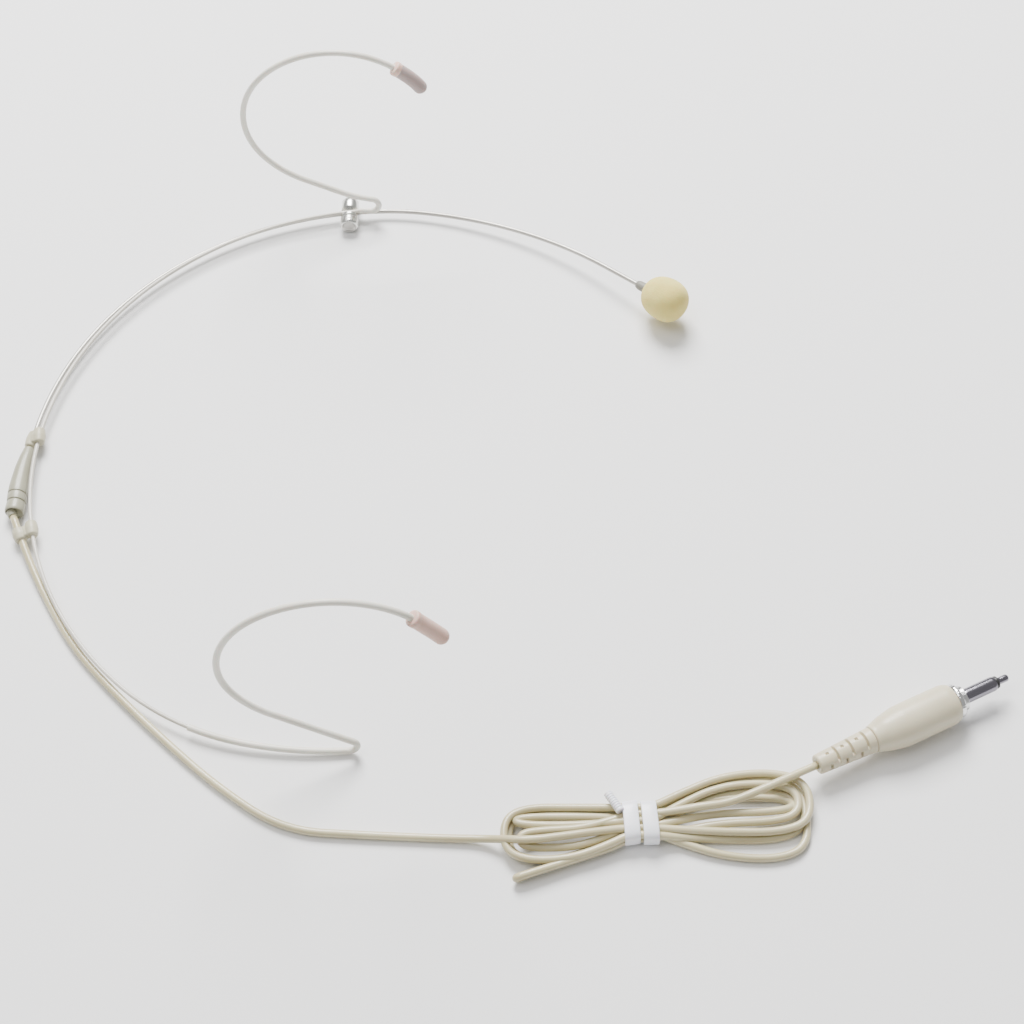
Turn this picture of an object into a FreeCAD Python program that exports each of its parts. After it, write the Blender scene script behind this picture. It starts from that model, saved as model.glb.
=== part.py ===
import FreeCAD
import Part
import Sketcher

import math
import os

from FreeCAD import Placement, Rotation, Vector

# Headset microphone, in millimetres.
# +X is the wearer's forward direction, +Y the wearer's left, +Z up from the
# table that the headset lies on with both ear hooks standing.
# The neckband and the boom share one circle seen from above, and every
# position round it is an angle about that circle's centre.

doc = FreeCAD.newDocument("headset_microphone")
sheet = doc.addObject("Spreadsheet::Sheet", "Sizes")

SIZES = [
    ("Neckband and boom circle", None),
    ("neck_centre_x", 6.26), ("neck_centre_y", -4.39),
    ("neck_wire_radius", 0.5), ("neck_circle", 86.4), ("neck_height", 3.0),
    ("neck_start_angle", 165.0), ("droop_start_angle", 203.0), ("droop_angle", 2.33),
    ("near_round_angle", 227.0), ("near_bend_a", 62.2), ("near_bend_a_turn", 19.6),
    ("near_bend_b_turn", 11.9), ("near_bend_c", 91.1), ("near_heading", 4.0),
    ("Ear hooks", None),
    ("sleeve_radius", 0.8), ("sleeve_bore", 0.55), ("near_u_radius", 2.2),
    ("near_run", 22.3), ("near_hook_rise", 38.8), ("far_u_radius", 2.3),
    ("far_u_rise", 10.0), ("far_ease", 30.0), ("far_hook_rise", 26.9),
    ("far_run", 10.3), ("far_lead", 1.4), ("far_set", 8.0), ("far_dip", 3.0),
    ("hook_bend_a", 28.1), ("hook_bend_a_turn", 27.3),
    ("hook_bend_b", 22.2), ("hook_bend_b_turn", 78.7),
    ("hook_bend_c", 25.6), ("hook_bend_c_turn", 86.0), ("hook_end_run", 6.4),
    ("ear_tip_length", 11.0), ("ear_tip_radius", 1.85), ("ear_tip_cover", 8.8),
    ("ear_collar_length", 2.2), ("ear_collar_radius", 2.0), ("ear_tip_gap", 0.05),
    ("Clamp", None),
    ("clamp_angle", 97.3), ("clamp_wire_circle", 87.3), ("clamp_wire_height", 3.35),
    ("clamp_axis_height", 2.4), ("clamp_radius", 2.35), ("clamp_front", 2.0),
    ("clamp_back", 4.6), ("clamp_nose_radius", 1.6), ("clamp_nose_length", 2.1),
    ("plunger_radius", 0.8), ("plunger_bore", 0.85), ("plunger_length", 2.5), ("plunger_stop", 0.4),
    ("knob_radius", 2.45), ("knob_length", 2.6), ("knob_bore", 1.66), ("knob_wall", 0.6),
    ("knob_gap", 0.15), ("knob_chamfer", 0.5),
    ("Boom", None),
    ("boom_circle", 88.1), ("boom_height", 2.0), ("boom_radius", 0.6), ("boom_bore", 0.4),
    ("boom_slide_clearance", 0.06), ("boom_lead_radius", 0.33),
    ("boom_arc_end", 91.0), ("boom_arc_start", 171.0), ("boom_tail_run", 7.3),
    ("boom_tail_bend", 8.0), ("boom_tail_cover", 4.0), ("lead_tail_cover", 8.2),
    ("boom_rise_tilt", 8.0),
    ("boom_bend_a", 60.0), ("boom_bend_a_turn", 10.0),
    ("boom_bend_b", 97.6), ("boom_bend_b_turn", 32.0), ("boom_end_run", 13.6),
    ("Capsule end", None),
    ("boot_radius", 1.3), ("boot_length", 4.0), ("capsule_shell_radius", 2.25),
    ("capsule_shell_bore", 2.0), ("capsule_shell_length", 7.0), ("capsule_back", 1.0),
    ("mic_radius", 1.97), ("mic_length", 3.0), ("gasket_length", 0.6),
    ("grille_length", 0.5), ("foam_radius", 5.75), ("foam_length", 11.2),
    ("foam_bore", 2.3), ("foam_bore_depth", 8.2), ("foam_round", 3.2),
    ("Junction housing", None),
    ("housing_length", 20.4), ("housing_lip", 0.6), ("housing_nose_radius", 1.3),
    ("housing_mid_radius", 1.9), ("housing_ring_radius", 2.3), ("housing_mid", 9.0),
    ("housing_end_radius", 2.45), ("housing_nose_bore", 0.72),
    ("housing_rise", 1.4), ("housing_inset", 6.0), ("groove_depth", 0.22),
    ("groove_width", 0.6), ("groove_a", 13.4), ("groove_b", 16.0),
    ("housing_end_bore", 2.05), ("ferrule_radius", 0.95), ("ferrule_length", 5.0),
    ("ferrule_start", 2.3), ("ferrule_play", 0.04), ("splice_start", 8.2),
    ("splice_radius", 0.8), ("splice_length", 4.0),
    ("gland_radius", 1.25), ("gland_tip_radius", 1.1), ("gland_length", 1.6),
    ("gland_turn", 28.0), ("gland_taper", 0.6), ("gland_gap", 0.1), ("gland_offset", 0.5),
    ("end_cap_radius", 2.04), ("end_cap_length", 0.8),
    ("end_cap_start", 18.0),
    ("Keepers", None),
    ("upper_keeper_angle", 174.4), ("lower_keeper_angle", 193.0), ("keeper_length", 4.0),
    ("keeper_bridge", 1.05), ("lower_keeper_reach", 5.9),
    ("keeper_wire_bore", 0.56), ("keeper_boom_bore", 0.64), ("upper_keeper_wire_ring", 1.35),
    ("upper_keeper_boom_ring", 1.45), ("lower_keeper_wire_ring", 1.35),
    ("lower_keeper_cable_ring", 1.6), ("lower_keeper_cable_bore", 0.98),
    ("Cable, hank and tie", None),
    ("cable_radius", 0.9), ("hank_height", 4.6), ("hank_waist", 8.6),
    ("tie_x", 67.9), ("tie_y", -104.0), ("tie_turn", 4.0), ("tie_room", 9.0),
    ("tie_band_width", 3.7), ("tie_pitch", 4.2), ("tie_thickness", 0.7),
    ("tie_stub_radius", 0.95), ("tie_stub_length", 5.4), ("tie_stub_heading", 150.0),
    ("Plug", None),
    ("plug_x", 108.2), ("plug_y", -90.7), ("plug_height", 5.05), ("plug_heading", 26.8),
    ("relief_length", 14.6), ("relief_back_radius", 2.3), ("relief_front_radius", 3.0),
    ("relief_bore", 1.04), ("relief_groove", 0.35), ("relief_groove_width", 0.7),
    ("relief_ring_a", 4.7), ("relief_radius_a", 2.55), ("relief_ring_b", 8.4),
    ("relief_radius_b", 2.7), ("relief_ring_c", 12.1), ("relief_radius_c", 2.88),
    ("plug_length", 21.8), ("plug_radius", 4.95), ("plug_neck_radius", 3.2),
    ("plug_waist_radius", 4.1), ("plug_flare", 7.5), ("plug_waist", 3.0), ("plug_front_radius", 4.5),
    ("plug_nose", 1.6), ("plug_bore", 3.7), ("plug_bore_taper", 0.4),
    ("cable_end_reach", 4.0), ("plug_rear_wall", 2.4), ("plug_front_wall", 1.2),
    ("crimp_start", 17.2), ("crimp_radius", 2.2), ("crimp_length", 6.0),
    ("plug_core_radius", 3.35), ("lock_flange_radius", 4.1), ("lock_flange_length", 1.4),
    ("lock_thread_radius", 3.0), ("lock_thread_length", 1.4), ("lock_bore", 2.06),
    ("lock_gap", 0.1), ("jack_root_radius", 2.0), ("jack_start", 39.5),
    ("jack_sleeve_radius", 1.75), ("jack_sleeve_length", 8.5), ("jack_bore", 0.95),
    ("jack_ring_length", 0.7), ("jack_ring_radius", 1.5), ("jack_rod_radius", 0.93),
    ("jack_tip_length", 3.7), ("jack_tip_round", 0.4),
]

row = 1
for name, value in SIZES:
    sheet.set(f"A{row}", name)
    if value is not None:
        sheet.set(f"B{row}", str(value))
        sheet.setAlias(f"B{row}", name)
    row += 1
doc.recompute()


def size(name):
    return float(getattr(sheet, name))


# ---------------------------------------------------------------- geometry

UP = Vector(0, 0, 1)


def heading(degrees):
    """Level unit vector at this angle from +X."""
    angle = math.radians(degrees)
    return Vector(math.cos(angle), math.sin(angle), 0)


def turned_vector(vector, axis, degrees):
    return Rotation(axis, degrees).multVec(vector)


def on_circle(radius, degrees, height):
    """Point at this angle round the neckband circle's centre."""
    centre = Vector(size("neck_centre_x"), size("neck_centre_y"), height)
    return centre + heading(degrees) * radius


class Route:
    """A path of straight runs and arcs, each one tangent to the last."""

    def __init__(self, point, direction, side):
        self.point = Vector(point)
        self.direction = Vector(direction).normalize()
        self.side = Vector(side).normalize()
        self.edges = []

    def mark(self):
        """Start a new stretch of the same route from here."""
        self.edges = []
        self.start = Vector(self.point)
        self.start_direction = Vector(self.direction)
        return self

    def stretch(self):
        return Part.Wire(self.edges), self.start, self.start_direction

    def run(self, length):
        end = self.point + self.direction * length
        self.edges.append(Part.LineSegment(self.point, end).toShape())
        self.point = end

    def arc(self, radius, degrees, axis):
        """Turn about an axis square to the path, by the right-hand rule."""
        axis = Vector(axis).normalize()
        to_centre = axis.cross(self.direction) * math.copysign(radius, degrees)
        centre = self.point + to_centre
        middle = centre + turned_vector(to_centre * -1, axis, degrees / 2)
        end = centre + turned_vector(to_centre * -1, axis, degrees)
        self.edges.append(Part.Arc(self.point, middle, end).toShape())
        self.point = end
        self.direction = turned_vector(self.direction, axis, degrees)
        self.side = turned_vector(self.side, axis, degrees)

    def left(self, radius, degrees):
        """Turn in the path's own plane, towards its left side."""
        self.arc(radius, degrees, self.direction.cross(self.side))

    def pitch(self, radius, degrees):
        """Turn upwards, about the path's right side."""
        self.arc(radius, degrees, self.side * -1)

    def slope(self):
        """Degrees that the path climbs from level."""
        return math.degrees(math.asin(self.direction.z))

    def arc_to(self, target):
        """Reach a point with the one arc that leaves along the path."""
        chord = target - self.point
        half_turn = self.direction.getAngle(chord)
        radius = chord.Length / (2 * math.sin(half_turn))
        axis = self.direction.cross(chord)
        self.arc(radius, math.degrees(2 * half_turn), axis)

    def roll(self, degrees):
        """Tilt the plane that later turns lie in."""
        self.side = turned_vector(self.side, self.direction, degrees)


def pipe(stretch, radius, bore=0.0):
    """Round tube, or rod, along a stretch of a route."""
    wire, start, direction = stretch
    outer = Part.Wire(Part.Circle(start, direction, radius).toShape())
    solid = wire.makePipe(Part.Face(outer))
    if bore > 0:
        inner = Part.Wire(Part.Circle(start, direction, bore).toShape())
        solid = solid.cut(wire.makePipe(Part.Face(inner)))
    expected = math.pi * (radius ** 2 - bore ** 2) * wire.Length
    if abs(solid.Volume - expected) > 0.01 * expected:
        raise RuntimeError("a tube's volume is not its section times its length")
    return solid


def along(point, direction):
    """Placement that sends the X axis of a turned piece along a direction."""
    return Placement(point, Rotation(Vector(1, 0, 0), direction))


# ---------------------------------------------------------------- building

NODES = []


def keep(thing, label):
    thing.Label = label
    NODES.append(thing)
    return thing


def shaped(label, shape, placement=None):
    """A node with a shape of its own, for wires and cables on free routes."""
    feature = doc.addObject("Part::Feature", label)
    feature.Shape = shape
    if placement is not None:
        feature.Placement = placement
    return keep(feature, label)


def plane_of(body, role):
    for feature in body.Origin.OriginFeatures:
        if feature.Role == role:
            return feature
    raise RuntimeError("no such plane")


def turned(label, profile, placement):
    """A body of revolution about its X axis.

    The profile lists its corners as (along, radius) expressions on the sheet.
    """
    body = doc.addObject("PartDesign::Body", label)
    sketch = body.newObject("Sketcher::SketchObject", label + "_profile")
    sketch.AttachmentSupport = (plane_of(body, "XY_Plane"), "")
    sketch.MapMode = "FlatFace"
    places = [(value_of(a), value_of(r)) for a, r in profile]
    count = len(places)
    for index in range(count):
        first = Vector(*places[index], 0)
        second = Vector(*places[(index + 1) % count], 0)
        sketch.addGeometry(Part.LineSegment(first, second), False)
    for index in range(count):
        following = (index + 1) % count
        sketch.addConstraint(Sketcher.Constraint("Coincident", index, 2, following, 1))
    for index, (a, r) in enumerate(profile):
        fix_corner(sketch, index, "DistanceX", places[index][0], a, -2)
        fix_corner(sketch, index, "DistanceY", places[index][1], r, -1)
    revolution = body.newObject("PartDesign::Revolution", label + "_turned")
    revolution.Profile = sketch
    revolution.ReferenceAxis = (sketch, ["H_Axis"])
    revolution.Angle = 360
    body.Placement = placement
    return keep(body, label)


def value_of(expression):
    """Number that a sheet expression stands for."""
    names = {name: value for name, value in SIZES if value is not None}
    total = 0.0
    for term in expression.replace("-", "+-").split("+"):
        term = term.strip()
        if not term:
            continue
        sign = -1.0 if term.startswith("-") else 1.0
        product = 1.0
        for factor in term.lstrip("-").split("*"):
            factor = factor.strip()
            product *= names[factor] if factor in names else float(factor)
        total += sign * product
    return total


def bound(expression):
    """The same expression, written for setExpression."""
    names = sorted((n for n, v in SIZES if v is not None), key=len, reverse=True)
    words = expression.replace("+", " + ").replace("-", " - ").replace("*", " * ").split()
    return " ".join("Sizes." + word if word in names else word for word in words)


def fix_corner(sketch, corner, kind, place, expression, axis):
    """Hold a corner on an axis, or at a distance that the sheet gives."""
    if abs(place) < 1e-9:
        sketch.addConstraint(Sketcher.Constraint("PointOnObject", corner, 1, axis))
        return
    index = sketch.addConstraint(Sketcher.Constraint(kind, -1, 1, corner, 1, place))
    sketch.setExpression(f"Constraints[{index}]", bound(expression))


def cylinder(label, radius, height, placement):
    """Part cylinder with both sizes bound; its own Z axis is the long one."""
    piece = doc.addObject("Part::Cylinder", label)
    piece.setExpression("Radius", bound(radius))
    piece.setExpression("Height", bound(height))
    piece.Placement = placement
    return piece


def cut(label, base, tool):
    piece = doc.addObject("Part::Cut", label)
    piece.Base = base
    piece.Tool = tool
    return piece


def fuse(label, pieces):
    piece = doc.addObject("Part::MultiFuse", label)
    piece.Shapes = pieces
    return piece


def upright(point, direction):
    """Placement that sends a Part cylinder's Z axis along a direction."""
    return Placement(point, Rotation(UP, direction))


# Free cable, as points on its centre line: gland to hank, then hank to plug.
CABLE_ROUTE = [
    (-83.1, -19.7, 2.5),
    (-80.1, -26.8, 2.1),
    (-76.5, -34.7, 1.3),
    (-72.0, -43.5, 1.0),
    (-64.4, -56.5, 1.0),
    (-54.7, -67.7, 1.0),
    (-41.6, -80.9, 1.0),
    (-27.3, -94.1, 1.0),
    (-11.6, -105.1, 1.0),
    (6.2, -106.2, 1.0),
    (23.2, -107.0, 1.0),
    (37.8, -107.4, 1.0),
]
TAIL_ROUTE = [
    (87.8, -100.4, 3.4),
    (96.4, -96.6, 5.4),
    (102.1, -93.7, 5.4),
    (108.2, -90.7, 5.05),
]
# Outline of the flattened hank, seen from above.
HANK_OUTLINE = [
    (37.6, -107.2), (40.4, -102.4), (46.6, -99.6), (55.2, -99.0), (63.2, -99.4),
    (72.2, -98.8), (83.2, -94.4), (95.6, -91.4), (103.8, -94.6), (106.4, -101.8),
    (102.2, -108.4), (93.2, -111.2), (82.2, -110.6), (72.2, -108.2), (63.2, -108.8),
    (56.2, -112.6), (49.2, -114.4), (41.8, -114.0),
]

# ------------------------------------------------- neckband wire and hooks


def hook_bends(route):
    """The ear hook itself, the same on both sides, ending inside the tip."""
    route.pitch(size("hook_bend_a"), size("hook_bend_a_turn"))
    route.pitch(size("hook_bend_b"), size("hook_bend_b_turn"))
    route.pitch(size("hook_bend_c"), size("hook_bend_c_turn"))
    route.run(size("hook_end_run"))


def near_side():
    """From the neckband's start angle round the nape to the near ear hook."""
    start = size("neck_start_angle")
    route = Route(on_circle(size("neck_circle"), start, size("neck_height")),
                  heading(start + 90), heading(start + 180)).mark()
    route.left(size("neck_circle"), size("droop_start_angle") - start)
    route.roll(-size("droop_angle"))
    route.left(size("neck_circle"), size("near_round_angle") - size("droop_start_angle"))
    route.left(size("near_bend_a"), size("near_bend_a_turn"))
    bare = route.stretch()
    route.mark()
    route.left(size("near_bend_a"), size("near_bend_b_turn"))
    turned_so_far = (size("near_round_angle") + 90 + size("near_bend_a_turn")
                     + size("near_bend_b_turn"))
    route.left(size("near_bend_c"), 360 + size("near_heading") - turned_so_far)
    route.pitch(size("near_u_radius"), 180 - size("near_hook_rise") - route.slope())
    route.run(size("near_run"))
    route.side = route.side * -1
    hook_bends(route)
    return bare, route.stretch(), route


def far_side():
    """From the neckband's start angle to the clamp and the far ear hook."""
    start = size("neck_start_angle")
    route = Route(on_circle(size("neck_circle"), start, size("neck_height")),
                  heading(start - 90), heading(start)).mark()
    at_clamp = on_circle(size("clamp_wire_circle"), size("clamp_angle"),
                         size("clamp_wire_height"))
    route.arc_to(at_clamp)
    route.side = UP.cross(route.direction).normalize()
    route.run(size("clamp_radius") + 0.3)
    bare = route.stretch()
    route.mark()
    level = math.degrees(math.atan2(route.direction.y, route.direction.x))
    route.arc(size("far_set"), -level, UP)
    route.side = Vector(0, 1, 0)
    route.direction = Vector(route.direction.x, 0, route.direction.z).normalize()
    route.pitch(size("far_set"), -size("far_dip") - route.slope())
    route.run(size("far_lead"))
    route.pitch(size("far_u_radius"), 180 - size("far_u_rise") - route.slope())
    route.side = route.side * -1
    route.pitch(size("far_ease"), size("far_hook_rise") - size("far_u_rise"))
    route.run(size("far_run"))
    hook_bends(route)
    return bare, route.stretch(), route


near_bare, near_covered, near_end = near_side()
far_bare, far_covered, far_end = far_side()


near_wire = pipe(near_bare, size("neck_wire_radius"))
far_wire = pipe(far_bare, size("neck_wire_radius"))
shaped("neckband_wire", near_wire.fuse(far_wire).removeSplitter())
for side, covered in (("right", near_covered), ("left", far_covered)):
    shaped(side + "_hook_core", pipe(covered, size("neck_wire_radius")))
    shaped(side + "_hook_sleeve", pipe(covered, size("sleeve_radius"), size("sleeve_bore")))
for side, end in (("right", near_end), ("left", far_end)):
    turned(side + "_ear_tip", [
        ("-ear_tip_cover", "sleeve_radius + ear_tip_gap"),
        ("-ear_tip_cover", "ear_collar_radius"),
        ("-ear_tip_cover + ear_collar_length", "ear_collar_radius"),
        ("-ear_tip_cover + ear_collar_length", "ear_tip_radius"),
        ("-ear_tip_cover + ear_tip_length - 0.5*ear_tip_radius", "ear_tip_radius"),
        ("-ear_tip_cover + ear_tip_length", "0.5*ear_tip_radius"),
        ("-ear_tip_cover + ear_tip_length", "0"),
        ("ear_tip_gap", "0"),
        ("ear_tip_gap", "sleeve_radius + ear_tip_gap"),
    ], along(end.point, end.direction))

# ------------------------------------------------------------------- boom


def boom_front():
    """From the arc's rear end through the clamp to the capsule."""
    start = size("boom_arc_start")
    route = Route(on_circle(size("boom_circle"), start, size("boom_height")),
                  heading(start - 90), heading(start)).mark()
    route.left(size("boom_circle"), size("boom_arc_end") - start)
    route.roll(-size("boom_rise_tilt"))
    route.left(size("boom_bend_a"), -size("boom_bend_a_turn"))
    route.left(size("boom_bend_b"), -size("boom_bend_b_turn"))
    route.run(size("boom_end_run"))
    return route


def boom_tail(cover):
    """From the arc's rear end back into the junction housing."""
    start = size("boom_arc_start")
    route = Route(on_circle(size("boom_circle"), start, size("boom_height")),
                  heading(start + 90), heading(start + 180)).mark()
    route.run(size("boom_tail_run"))
    route.arc(size("boom_tail_bend"), size("housing_inset"), UP)
    route.arc(size("boom_tail_bend"), -size("housing_rise"), UP.cross(route.direction))
    nose = Vector(route.point)
    route.run(size(cover))
    return route, nose


boom_route = boom_front()
tube_tail, housing_start = boom_tail("boom_tail_cover")
lead_tail, housing_start = boom_tail("lead_tail_cover")
boom_tube = pipe(boom_route.stretch(), size("boom_radius"), size("boom_bore"))
boom_tube_tail = pipe(tube_tail.stretch(), size("boom_radius"), size("boom_bore"))
shaped("boom_tube", boom_tube.fuse(boom_tube_tail).removeSplitter())
boom_lead = pipe(boom_route.stretch(), size("boom_lead_radius"))
shaped("boom_lead", boom_lead.fuse(pipe(lead_tail.stretch(), size("boom_lead_radius"))))
capsule_axis = along(boom_route.point, boom_route.direction)

turned("capsule_boot", [
    ("-2.4", "boom_radius + 0.02"), ("-2.4", "boot_radius - 0.35"),
    ("-1.2", "boot_radius"), ("boot_length - 2.4", "boot_radius"),
    ("boot_length - 2.4", "boom_radius + 0.02"),
], capsule_axis)
turned("capsule_shell", [
    ("boot_length - 2.4", "0.5"), ("boot_length - 2.4", "capsule_shell_radius"),
    ("boot_length - 2.4 + capsule_shell_length", "capsule_shell_radius"),
    ("boot_length - 2.4 + capsule_shell_length", "capsule_shell_bore"),
    ("boot_length - 2.4 + capsule_back", "capsule_shell_bore"),
    ("boot_length - 2.4 + capsule_back", "0.5"),
], capsule_axis)
turned("microphone_capsule", [
    ("boot_length + capsule_back", "0"), ("boot_length + capsule_back", "mic_radius"),
    ("boot_length + capsule_back + mic_length", "mic_radius"),
    ("boot_length + capsule_back + mic_length", "0"),
], capsule_axis)
turned("capsule_gasket", [
    ("boot_length + capsule_back - gasket_length", "0.8"),
    ("boot_length + capsule_back - gasket_length", "mic_radius"),
    ("boot_length + capsule_back", "mic_radius"), ("boot_length + capsule_back", "0.8"),
], capsule_axis)
turned("capsule_grille", [
    ("boot_length - 2.4 + capsule_shell_length - grille_length", "0"),
    ("boot_length - 2.4 + capsule_shell_length - grille_length", "mic_radius"),
    ("boot_length - 2.4 + capsule_shell_length", "mic_radius"),
    ("boot_length - 2.4 + capsule_shell_length", "0"),
], capsule_axis)
turned("foam_windscreen", [
    ("boot_length - 3.4", "foam_bore"), ("boot_length - 3.4", "foam_radius - foam_round"),
    ("boot_length - 3.4 + 0.3*foam_round", "foam_radius - 0.3*foam_round"),
    ("boot_length - 3.4 + foam_round", "foam_radius"),
    ("boot_length - 3.4 + foam_length - foam_round", "foam_radius"),
    ("boot_length - 3.4 + foam_length - 0.3*foam_round", "foam_radius - 0.3*foam_round"),
    ("boot_length - 3.4 + foam_length", "foam_radius - foam_round"),
    ("boot_length - 3.4 + foam_length", "0"),
    ("boot_length - 3.4 + foam_bore_depth", "0"),
    ("boot_length - 3.4 + foam_bore_depth", "foam_bore"),
], capsule_axis)

# ------------------------------------------------------- junction housing

housing_way = Vector(tube_tail.direction)
housing_axis = along(housing_start, housing_way)
turned("junction_housing", [
    ("-housing_lip", "housing_nose_bore"), ("-housing_lip", "housing_nose_radius"),
    ("housing_mid", "housing_mid_radius"),
    ("groove_a", "housing_ring_radius"),
    ("groove_a", "housing_ring_radius - groove_depth"),
    ("groove_a + groove_width", "housing_ring_radius - groove_depth"),
    ("groove_a + groove_width", "housing_ring_radius"),
    ("groove_b", "housing_ring_radius"),
    ("groove_b", "housing_ring_radius - groove_depth"),
    ("groove_b + groove_width", "housing_ring_radius - groove_depth"),
    ("groove_b + groove_width", "housing_ring_radius"),
    ("housing_length - 0.3", "housing_end_radius"),
    ("housing_length", "housing_end_radius - 0.3"), ("housing_length", "housing_end_bore"),
    ("end_cap_start", "housing_end_bore"),
    ("8", "1.0"), ("2.2", "1.0"), ("2.2", "housing_nose_bore"),
], housing_axis)
turned("boom_ferrule", [
    ("ferrule_start", "boom_radius + ferrule_play"), ("ferrule_start", "ferrule_radius"),
    ("ferrule_start + ferrule_length", "ferrule_radius"),
    ("ferrule_start + ferrule_length", "boom_radius + ferrule_play"),
], housing_axis)
turned("lead_splice", [
    ("splice_start", "0"), ("splice_start", "splice_radius"),
    ("splice_start + splice_length", "splice_radius"), ("splice_start + splice_length", "0"),
], housing_axis)

turned("housing_end_cap", [
    ("end_cap_start", "0"), ("end_cap_start", "end_cap_radius"),
    ("end_cap_start + end_cap_length", "end_cap_radius"),
    ("end_cap_start + end_cap_length", "0"),
], housing_axis)
gland_way = turned_vector(housing_way, UP, size("gland_turn"))
gland_point = housing_start + housing_way * (size("housing_length")
                                             + size("gland_offset"))
gland_axis = along(gland_point, gland_way)
turned("cable_gland", [
    ("-gland_length", "0"), ("-gland_length", "gland_radius"),
    ("-gland_taper", "gland_radius"), ("-gland_gap", "gland_tip_radius"), ("-gland_gap", "0"),
], gland_axis)

# ---------------------------------------------------------------- keepers


def keeper(label, angle, wire_ring, other_point, other_way, other_ring, other_bore):
    """Figure-of-eight clip: one ring slides on the wire, one holds the other."""
    half = size("keeper_length") / 2
    wire_point = on_circle(size("neck_circle"), size(angle), size("neck_height"))
    across = other_point - wire_point
    bridge = doc.addObject("Part::Cylinder", label + "_bridge")
    bridge.setExpression("Radius", bound("keeper_bridge"))
    bridge.Height = across.Length
    bridge.Placement = upright(wire_point, across)
    rings = [bridge]
    bores = []
    for index, (point, way, ring, bore) in enumerate((
            (wire_point, heading(size(angle) + 90), wire_ring, "keeper_wire_bore"),
            (other_point, other_way, other_ring, other_bore))):
        rings.append(cylinder(f"{label}_ring_{index}", ring, "keeper_length",
                              upright(point - way * half, way)))
        bores.append(cylinder(f"{label}_bore_{index}", bore, "2*keeper_length",
                              upright(point - way * 2 * half, way)))
    body = cut(label, fuse(label + "_rings", rings), fuse(label + "_bores", bores))
    return keep(body, label)


tail_way = heading(size("boom_arc_start") + 90)
along_tail = size("boom_circle") * math.tan(
    math.radians(size("upper_keeper_angle") - size("boom_arc_start")))
keeper("upper_keeper", "upper_keeper_angle", "upper_keeper_wire_ring",
       on_circle(size("boom_circle"), size("boom_arc_start"), size("boom_height"))
       + tail_way * along_tail, tail_way,
       "upper_keeper_boom_ring", "keeper_boom_bore")
cable_at_gland = Vector(*CABLE_ROUTE[0])
cable_way = (Vector(*CABLE_ROUTE[1]) - cable_at_gland).normalize()
keeper("lower_keeper", "lower_keeper_angle", "lower_keeper_wire_ring",
       cable_at_gland + cable_way * size("lower_keeper_reach"), cable_way,
       "lower_keeper_cable_ring", "lower_keeper_cable_bore")

# ------------------------------------------------------------------ clamp

TO_WEARER = Vector(0, -1, 0)
wires_at_clamp = on_circle(size("clamp_wire_circle"), size("clamp_angle"),
                           size("clamp_wire_height"))
clamp_centre = Vector(wires_at_clamp.x, wires_at_clamp.y, size("clamp_axis_height"))
clamp_axis = along(clamp_centre, TO_WEARER)
barrel_blank = turned("clamp_barrel_blank", [
    ("-clamp_back", "0"), ("-clamp_back", "clamp_radius"), ("clamp_front", "clamp_radius"),
    ("clamp_front", "clamp_nose_radius"),
    ("clamp_front + clamp_nose_length", "clamp_nose_radius"),
    ("clamp_front + clamp_nose_length", "plunger_bore"), ("plunger_stop", "plunger_bore"),
    ("plunger_stop", "0"),
], clamp_axis)
NODES.remove(barrel_blank)
boom_hole = doc.addObject("Part::Torus", "boom_hole")
boom_hole.setExpression("Radius1", bound("boom_circle"))
boom_hole.setExpression("Radius2", bound("boom_radius + boom_slide_clearance"))
boom_hole.Placement = Placement(on_circle(0, 0, size("boom_height")), Rotation())
wire_way = far_bare[0].Edges[-1].tangentAt(far_bare[0].Edges[-1].FirstParameter)
wire_hole = cylinder("wire_hole", "sleeve_bore", "4*clamp_radius",
                     upright(wires_at_clamp - wire_way * 2 * size("clamp_radius"), wire_way))
barrel = cut("clamp_barrel", barrel_blank, fuse("clamp_holes", [boom_hole, wire_hole]))
keep(barrel, "clamp_barrel")
turned("clamp_plunger", [
    ("clamp_front + clamp_nose_length - plunger_length", "0"),
    ("clamp_front + clamp_nose_length - plunger_length", "plunger_radius"),
    ("clamp_front + clamp_nose_length", "plunger_radius"),
    ("clamp_front + clamp_nose_length", "0"),
], clamp_axis)
turned("clamp_knob", [
    ("clamp_front + knob_gap", "knob_bore"), ("clamp_front + knob_gap", "knob_radius"),
    ("clamp_front + knob_gap + knob_length - knob_chamfer", "knob_radius"),
    ("clamp_front + knob_gap + knob_length", "knob_radius - knob_chamfer"),
    ("clamp_front + knob_gap + knob_length", "0"),
    ("clamp_front + knob_gap + knob_length - knob_wall", "0"),
    ("clamp_front + knob_gap + knob_length - knob_wall", "knob_bore"),
], clamp_axis)

# ------------------------------------------------------------------ cable

def cord_tube(points, radius):
    """Straight runs joined by tangent arcs; prints the arc radii."""
    points = [Vector(*point) for point in points]
    edges = []
    radii = []
    last = points[0]
    for before, corner, after in zip(points, points[1:], points[2:]):
        into = (corner - before).normalize()
        out = (after - corner).normalize()
        half_turn = into.getAngle(out) / 2
        shorter = min((corner - before).Length, (after - corner).Length)
        trim = 0.45 * shorter
        arc_radius = trim / math.tan(half_turn)
        start = corner - into * trim
        end = corner + out * trim
        inward = (out - into).normalize()
        middle = corner + inward * (arc_radius / math.cos(half_turn) - arc_radius)
        edges.append(Part.LineSegment(last, start).toShape())
        edges.append(Part.Arc(start, middle, end).toShape())
        radii.append(round(arc_radius, 1))
        last = end
    edges.append(Part.LineSegment(last, points[-1]).toShape())
    print("cord radii", radii, "length", round(sum(e.Length for e in edges), 1))
    return pipe((Part.Wire(edges), points[0], (points[1] - points[0]).normalize()), radius)


shaped("cable_run", cord_tube(CABLE_ROUTE, size("cable_radius")))
shaped("cable_tail", cord_tube(TAIL_ROUTE, size("cable_radius")))

# ----------------------------------------------------------- hank and tie

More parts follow.
